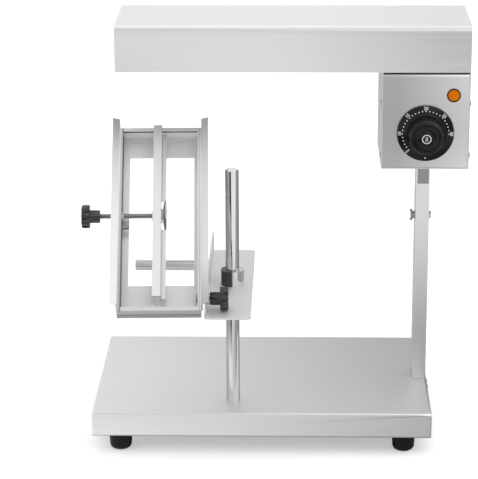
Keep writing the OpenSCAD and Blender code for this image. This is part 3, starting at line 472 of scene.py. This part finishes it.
# The dial's skirt slopes up from its rim to its grip; prints lie just above it
SKIRT_EDGE, SKIRT_TOP = (0.0324, 0.0019), (0.0250, 0.0036)
SKIRT_SLOPE = (SKIRT_TOP[1] - SKIRT_EDGE[1]) / (SKIRT_EDGE[0] - SKIRT_TOP[0])
DIAL_FACE = 0.0276
DIAL_LOW, DIAL_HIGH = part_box("dial")
DIAL_X = (DIAL_LOW[0] + DIAL_HIGH[0]) / 2
DIAL_Z = (DIAL_LOW[2] + DIAL_HIGH[2]) / 2
DIAL_BACK = DIAL_HIGH[1]
FIRST_MARK, LAST_MARK, DOT_STEP, NUMERAL_STEP = 225, 0, 9, 45


def on_skirt(r, a, lift):
    """Place on the skirt at a radius and an angle."""
    h = SKIRT_EDGE[1] + (SKIRT_EDGE[0] - r) * SKIRT_SLOPE + lift
    return Vector((DIAL_X + r * math.cos(a), DIAL_BACK - h, DIAL_Z + r * math.sin(a)))


def dial_dots():
    """Dots round the scale, and a larger one at its foot."""
    ring_r, dot_r, foot_ring_r, foot_dot_r = 0.0269, 0.00078, 0.0290, 0.0009
    sunk, proud, sides = -0.00002, 0.00008, 12
    spots = [(ring_r, math.radians(a), dot_r)
             for a in range(FIRST_MARK, LAST_MARK - 1, -DOT_STEP)]
    spots.append((foot_ring_r, math.radians(270), foot_dot_r))
    bm = bmesh.new()
    for r, a, size in spots:
        rows = []
        for lift in (sunk, proud):
            turns = [math.tau * k / sides for k in range(sides)]
            rows.append([bm.verts.new(on_skirt(r + size * math.cos(t), a + size * math.sin(t) / r,
                                               lift)) for t in turns])
        skin(bm, rows)
    piece("dial_dots", mesh_of("dial_dots", bm), "dial", "ceramic", PRINT)


def dial_numerals():
    """Plain numerals, upright seen from the dial's middle."""
    size, depth, stroke, ring_r, proud = 0.0052, 0.00004, 0.00013, 0.0300, 0.00008
    tip = math.atan(SKIRT_SLOPE)
    for i, word in enumerate(("5", "10", "15", "20", "25", "30")):
        a = math.radians(FIRST_MARK - NUMERAL_STEP * i)
        cu = bpy.data.curves.new("numeral_" + word, "FONT")
        cu.body = word
        cu.size = size
        cu.align_x, cu.align_y = "CENTER", "CENTER"
        cu.extrude = depth
        cu.offset = stroke
        ob = bpy.data.objects.new("dial_numeral_" + word, cu)
        out = Vector((math.cos(a), 0, math.sin(a)))
        normal = (Vector((0, -1, 0)) * math.cos(tip) + out * math.sin(tip)).normalized()
        up = (out - normal * out.dot(normal)).normalized()
        m = Matrix((up.cross(normal), up, normal)).transposed().to_4x4()
        m.translation = on_skirt(ring_r, a, proud)
        ob.matrix_world = m
        piece(None, ob, "dial", "ceramic", PRINT)


def dial_ring_mark():
    """A ring with two upright strokes on the dial's cap."""
    outer, inner, depth = 0.0054, 0.0044, 0.0001
    stroke_x, stroke_w, stroke_h = 0.0009, 0.0007, 0.0052
    front = DIAL_BACK - DIAL_FACE
    bm = bmesh.new()
    skin(bm, [circle(bm, Vector((DIAL_X, y, DIAL_Z)), Vector((1, 0, 0)), Vector((0, 0, 1)), r, 40)
              for r, y in ((outer, front + depth), (outer, front - depth),
                           (inner, front - depth), (inner, front + depth))], ends=False)
    for dx in (-stroke_x, stroke_x):
        res = bmesh.ops.create_cube(bm, size=1.0)
        bmesh.ops.scale(bm, vec=(stroke_w, 2 * depth, stroke_h), verts=res["verts"])
        bmesh.ops.translate(bm, vec=(DIAL_X + dx, front, DIAL_Z), verts=res["verts"])
    bmesh.ops.recalc_face_normals(bm, faces=bm.faces)
    piece("dial_ring_mark", mesh_of("dial_ring_mark", bm), "dial", "ceramic", PRINT)


def threaded_screw():
    """The press screw with its thread, its plain neck and the head in the bar's clip."""
    major, minor, pitch, steps = 0.003, 0.00262, 0.001, 24
    neck_r, neck_l, head_r, head_l, chamfer = 0.0029, 0.0035, 0.0044, 0.001, 0.0001
    cad_head_r = 0.0045
    low, high = [Vector(c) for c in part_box("press_screw")]
    mid = (low + high) / 2
    reach = (high.x - low.x) / math.cos(SKEW) / 2 - cad_head_r * math.sin(SKEW)
    side = Vector((0, 0, 1))
    other = ACROSS.cross(side)
    bm = bmesh.new()
    step = pitch / 4
    count = int((2 * reach - neck_l) / step)

    def thread(x):
        def radius(a):
            phase = (x / pitch - a / math.tau) % 1.0
            return minor + (major - minor) * (1 - abs(2 * phase - 1))
        return radius

    outline = [(x, minor if i in (0, count) else thread(x))
               for i, x in enumerate(-reach + k * step for k in range(count + 1))]
    outline += [(reach - neck_l, neck_r), (reach - head_l, neck_r), (reach - head_l, head_r),
                (reach - chamfer, head_r), (reach, head_r - 2 * chamfer)]
    skin(bm, [circle(bm, mid + ACROSS * x, side, other, r, steps) for x, r in outline])
    ob = piece("press_screw_thread", mesh_of("press_screw_thread", bm), "press_screw",
               "zinc_steel", DARK_ZINC, "press_screw")
    soften(ob)


def front_panel():
    """The front panel, its upper edge folded back under the head."""
    rise, sheet, fold_end = 0.0009, 0.001, 0.0090
    low, high = [Vector(c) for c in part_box("front_panel")]
    top = high.z + rise
    outer = [(0.0, low.z), (0.0, top - 0.0046), (0.00025, top - 0.0038), (0.0010, top - 0.0020),
             (0.0015, top - 0.0010), (0.0023, top - 0.0003), (0.0034, top), (fold_end, top)]
    inner = [(y + sheet * 0.9, z - (sheet if y > 0.001 else 0.0)) for y, z in reversed(outer)]
    inner[0] = (fold_end, top - sheet)
    bm = bmesh.new()
    rings = [[bm.verts.new((x, low.y + y, z)) for y, z in outer + inner] for x in (low.x, high.x)]
    n = len(rings[0])
    for k in range(n):
        bm.faces.new((rings[0][k], rings[0][(k + 1) % n], rings[1][(k + 1) % n], rings[1][k]))
    for ring in rings:
        for k in range(len(outer) - 1):
            bm.faces.new((ring[k], ring[k + 1], ring[n - 2 - k], ring[n - 1 - k]))
    bmesh.ops.recalc_face_normals(bm, faces=bm.faces)
    ob = piece("front_panel_folded", mesh_of("front_panel_folded", bm), "head", "sheet_steel",
               STEEL_PANEL, "front_panel")
    soften(ob)


def dial():
    """Dial with a low skirt, a smooth tapered grip and a dished face."""
    skirt = [(0.004, 0.0), (0.0326, 0.0), (0.033, 0.0003), (0.033, 0.0012), (0.0328, 0.0016),
             SKIRT_EDGE, SKIRT_TOP]
    grip = [(0.0236, 0.0040), (0.0226, 0.0048), (0.0219, 0.0060), (0.0212, 0.0090),
            (0.0199, 0.0200), (0.0194, 0.0236), (0.0188, 0.0256), (0.0178, 0.0268),
            (0.0166, 0.0272), (0.0156, 0.0268)]
    face = [(0.0150, 0.0260), (0.0146, 0.0252), (0.0120, 0.0246), (0.0080, 0.0250),
            (0.0062, 0.0268), (0.0056, 0.0274), (0.0046, DIAL_FACE)]
    bm = bmesh.new()
    turned(bm, Vector((DIAL_X, DIAL_BACK, DIAL_Z)), Vector((0, -1, 0)), skirt + grip + face)
    ob = piece("dial_turned", mesh_of("dial_turned", bm), "dial", "black_plastic", BLACK,
               "dial", "dial_cap")
    soften(ob, sharp=50)


def press_pad():
    """The dished pad, open towards the cheese."""
    low, high = [Vector(c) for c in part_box("press_pad")]
    depth, cad_half = 0.0036, 0.0019
    outline = [(0.0, 0.0), (0.009, 0.0), (0.0125, 0.0004), (0.0158, 0.0014), (0.0170, 0.0024),
               (0.0170, 0.0033), (0.0166, depth), (0.0160, 0.0033), (0.0150, 0.0026),
               (0.0122, 0.0015), (0.009, 0.0011), (0.0, 0.0011)]
    bm = bmesh.new()
    turned(bm, (low + high) / 2 - ACROSS * cad_half, ACROSS, outline, 64)
    ob = piece("press_pad_dish", mesh_of("press_pad_dish", bm), "press_bar", "polished_steel",
               STEEL_PAD, "press_pad")
    soften(ob)


def star_knob(name, tip, body, slot):
    """Star knob with fluted lobes; tip gives the direction of its head."""
    radius, head, hub_r, bore_r, inset = 0.0135, 0.0095, 0.0075, 0.0032, 0.00005
    low, high = [Vector(c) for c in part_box(name)]
    axis = ACROSS * tip
    half = (high.x - low.x) / 2 / math.cos(SKEW) - radius * math.sin(SKEW) - inset
    length = 2 * half
    hub = length - head
    outline = [(bore_r, 0.0, 0.0), (0.0066, 0.0, 0.0), (0.0074, 0.0008, 0.0009),
               (hub_r, hub - 0.0003, 0.0009), (0.0078, hub, 0.0009), (0.0126, hub, 0.0020),
               (radius, hub + 0.0010, 0.0024), (radius, length - 0.0014, 0.0024),
               (0.0130, length - 0.0004, 0.0022), (0.0120, length, 0.0018),
               (0.0060, length - 0.0003, 0.0), (0.0030, length - 0.0008, 0.0)]
    bm = bmesh.new()
    turned(bm, (low + high) / 2 - axis * half, axis, outline)
    ob = piece(name + "_star", mesh_of(name + "_star", bm), body, slot, KNOB, name)
    soften(ob, sharp=48)


base_pan()
press_pad()
front_panel()
dial()
dial_dots()
dial_numerals()
dial_ring_mark()
threaded_screw()
star_knob("tilt_knob", 1, "tilt_knob", "black_plastic")
star_knob("press_knob", -1, "press_screw", "black_plastic")


# Stage: white floor, a card that only polished metal shows, soft studio light
def flat(name, corners):
    me = bpy.data.meshes.new(name)
    me.from_pydata(corners, [], [(0, 1, 2, 3)])
    ob = bpy.data.objects.new(name, me)
    bpy.context.scene.collection.objects.link(ob)
    return ob


def emission(nt, colour):
    em = node(nt, "ShaderNodeEmission")
    em.inputs["Strength"].default_value = 1.0
    nt.links.new(colour, em.inputs["Color"])
    return em.outputs["Emission"]


def blend_shaders(nt, fac, a, b):
    mix = node(nt, "ShaderNodeMixShader")
    nt.links.new(fac, mix.inputs["Fac"])
    nt.links.new(a, mix.inputs[1])
    nt.links.new(b, mix.inputs[2])
    return mix.outputs["Shader"]


def looked_at(nt):
    """Light Path, and one where the camera looks, also through glass."""
    lp = node(nt, "ShaderNodeLightPath")
    return lp, maths(nt, "MAXIMUM", lp.outputs["Is Camera Ray"],
                     lp.outputs["Is Transmission Ray"])


def product(nt, *values):
    out = values[0]
    for v in values[1:]:
        out = maths(nt, "MULTIPLY", out, v)
    return out


def mirrored_floor(nt, x, y, away):
    """What polished metal shows of the floor: graded near the part and far in front of it, with a
    painted shadow under the base.
    """
    def along(low, high, start, end, value=x):
        return spread(nt, value, low, high, start, end)

    front = maths(nt, "MULTIPLY", y, -1.0)
    tone = mixed(nt, along(0.0, 1.0, 0.35, 0.6, front), along(1.0, 0.36, -0.22, 0.24), 1.0)
    tone = mixed(nt, along(0.0, 1.0, 1.2, 1.6, front), tone, along(1.0, 0.0, -0.02, 0.42))
    # A darker patch in front on the left, which gives the post its contrast
    turn = maths(nt, "ARCTAN2", maths(nt, "MULTIPLY", x, -1.0), front)
    reach = product(nt, along(0.0, 1.0, 0.34, 0.5, away), along(1.0, 0.0, 1.45, 1.8, away))
    for start, end, value in ((0.45, 2.0, 0.42), (0.16, 0.62, 0.05)):
        wedge = product(nt, along(0.0, 1.0, start, start + 0.1, turn),
                        along(1.0, 0.0, end, end + 0.15, turn))
        tone = mixed(nt, product(nt, wedge, reach), tone, value)
    # Painted shadow under the base, which only polished metal shows
    low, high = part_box("base_pan")
    inside = [along(0.0, 1.0, low[i] + 0.01, low[i] + 0.02, v) for i, v in ((0, x), (1, y))]
    inside += [along(1.0, 0.0, high[i] - 0.02, high[i] - 0.01, v) for i, v in ((0, x), (1, y))]
    return mixed(nt, product(nt, *inside), tone, 0.06)


def white_floor():
    """White floor that keeps the part's shadow and turns plain white farther off."""
    floor = flat("floor", [(-6, -4, 0), (6, -4, 0), (6, 8, 0), (-6, 8, 0)])
    mat, nt, b = new_mat("floor_white")
    b.inputs["Base Color"].default_value = (0.9, 0.9, 0.9, 1)
    b.inputs["Roughness"].default_value = 0.9
    x, y, _ = place_of(nt)
    away = maths(nt, "SQRT", maths(nt, "ADD", product(nt, x, x), product(nt, y, y)))
    white = node(nt, "ShaderNodeAddShader")
    nt.links.new(b.outputs["BSDF"], white.inputs[0])
    nt.links.new(emission(nt, spread(nt, away, 0.4, 0.55, 0.6, 1.6)), white.inputs[1])
    lp, looked = looked_at(nt)
    seen = blend_shaders(nt, looked, b.outputs["BSDF"], white.outputs["Shader"])
    out = blend_shaders(nt, lp.outputs["Is Glossy Ray"], seen,
                        emission(nt, mirrored_floor(nt, x, y, away)))
    nt.links.new(out, nt.nodes["Material Output"].inputs["Surface"])
    floor.data.materials.append(mat)


def back_card():
    """A card behind the part that only polished metal shows, darker to the right."""
    half, back, low, high = 1.2, 0.5, 0.01, 0.47
    card = flat("back_card", [(-half, back, low), (half, back, low), (half, back, high),
                              (-half, back, high)])
    mat, nt, _ = new_mat("back_card_grey")
    tone = ramp(nt, spread(nt, place_of(nt)[0], 0.0, 1.0, -0.35, 0.35),
                [(0.0, 0.88), (0.15, 0.88), (0.85, 0.32), (1.0, 0.28)])
    clear = node(nt, "ShaderNodeBsdfTransparent").outputs["BSDF"]
    glossy = node(nt, "ShaderNodeLightPath").outputs["Is Glossy Ray"]
    out = blend_shaders(nt, glossy, clear, emission(nt, tone))
    nt.links.new(out, nt.nodes["Material Output"].inputs["Surface"])
    card.data.materials.append(mat)


def studio_world():
    """White to the camera, and nearly white light, dimmer ahead and low on the right."""
    world = bpy.data.worlds.new("studio")
    bpy.context.scene.world = world
    world.use_nodes = True
    wt = world.node_tree
    x, y, z = place_of(wt, "Generated")
    ahead = spread(wt, y, 1.0, 0.0, -0.6, -0.25)
    band = product(wt, spread(wt, z, 0.0, 1.0, 0.15, 0.35), spread(wt, z, 1.0, 0.0, 0.75, 0.9))
    right = product(wt, spread(wt, x, 0.0, 0.55, -0.15, 0.4), spread(wt, y, 1.0, 0.0, -0.5, -0.1),
                    spread(wt, z, 1.0, 0.0, 0.3, 0.55))
    tone = product(wt, spread(wt, x, 0.84, 0.96, -0.9, -0.4),
                   maths(wt, "SUBTRACT", 1.0, product(wt, ahead, band, 0.3)),
                   maths(wt, "SUBTRACT", 1.0, right))
    bg = wt.nodes["Background"]
    wt.links.new(mixed(wt, looked_at(wt)[1], tone, 1.0), bg.inputs["Color"])
    bg.inputs["Strength"].default_value = 1.0


def area(name, place, target, size, radiance):
    """A rectangular lamp aimed at a point."""
    data = bpy.data.lights.new(name, "AREA")
    data.shape = "RECTANGLE"
    data.size, data.size_y = size
    data.energy = radiance * math.pi * size[0] * size[1]
    ob = bpy.data.objects.new(name, data)
    bpy.context.scene.collection.objects.link(ob)
    ob.location = place
    ob.rotation_euler = (Vector(target) - Vector(place)).to_track_quat("-Z", "Y").to_euler()


white_floor()
back_card()
studio_world()
area("front_right", (0.80, -1.5, 1.45), (0.15, 0, 0.3), (1.3, 0.8), 0.85)
area("top_right", (1.2, -0.7, 1.9), (0, 0, 0.3), (1.1, 1.0), 0.6)
area("top", (0, 0.2, 2.2), (0, 0, 0.2), (1.6, 1.2), 0.22)

bpy.context.scene.view_settings.view_transform = "Standard"
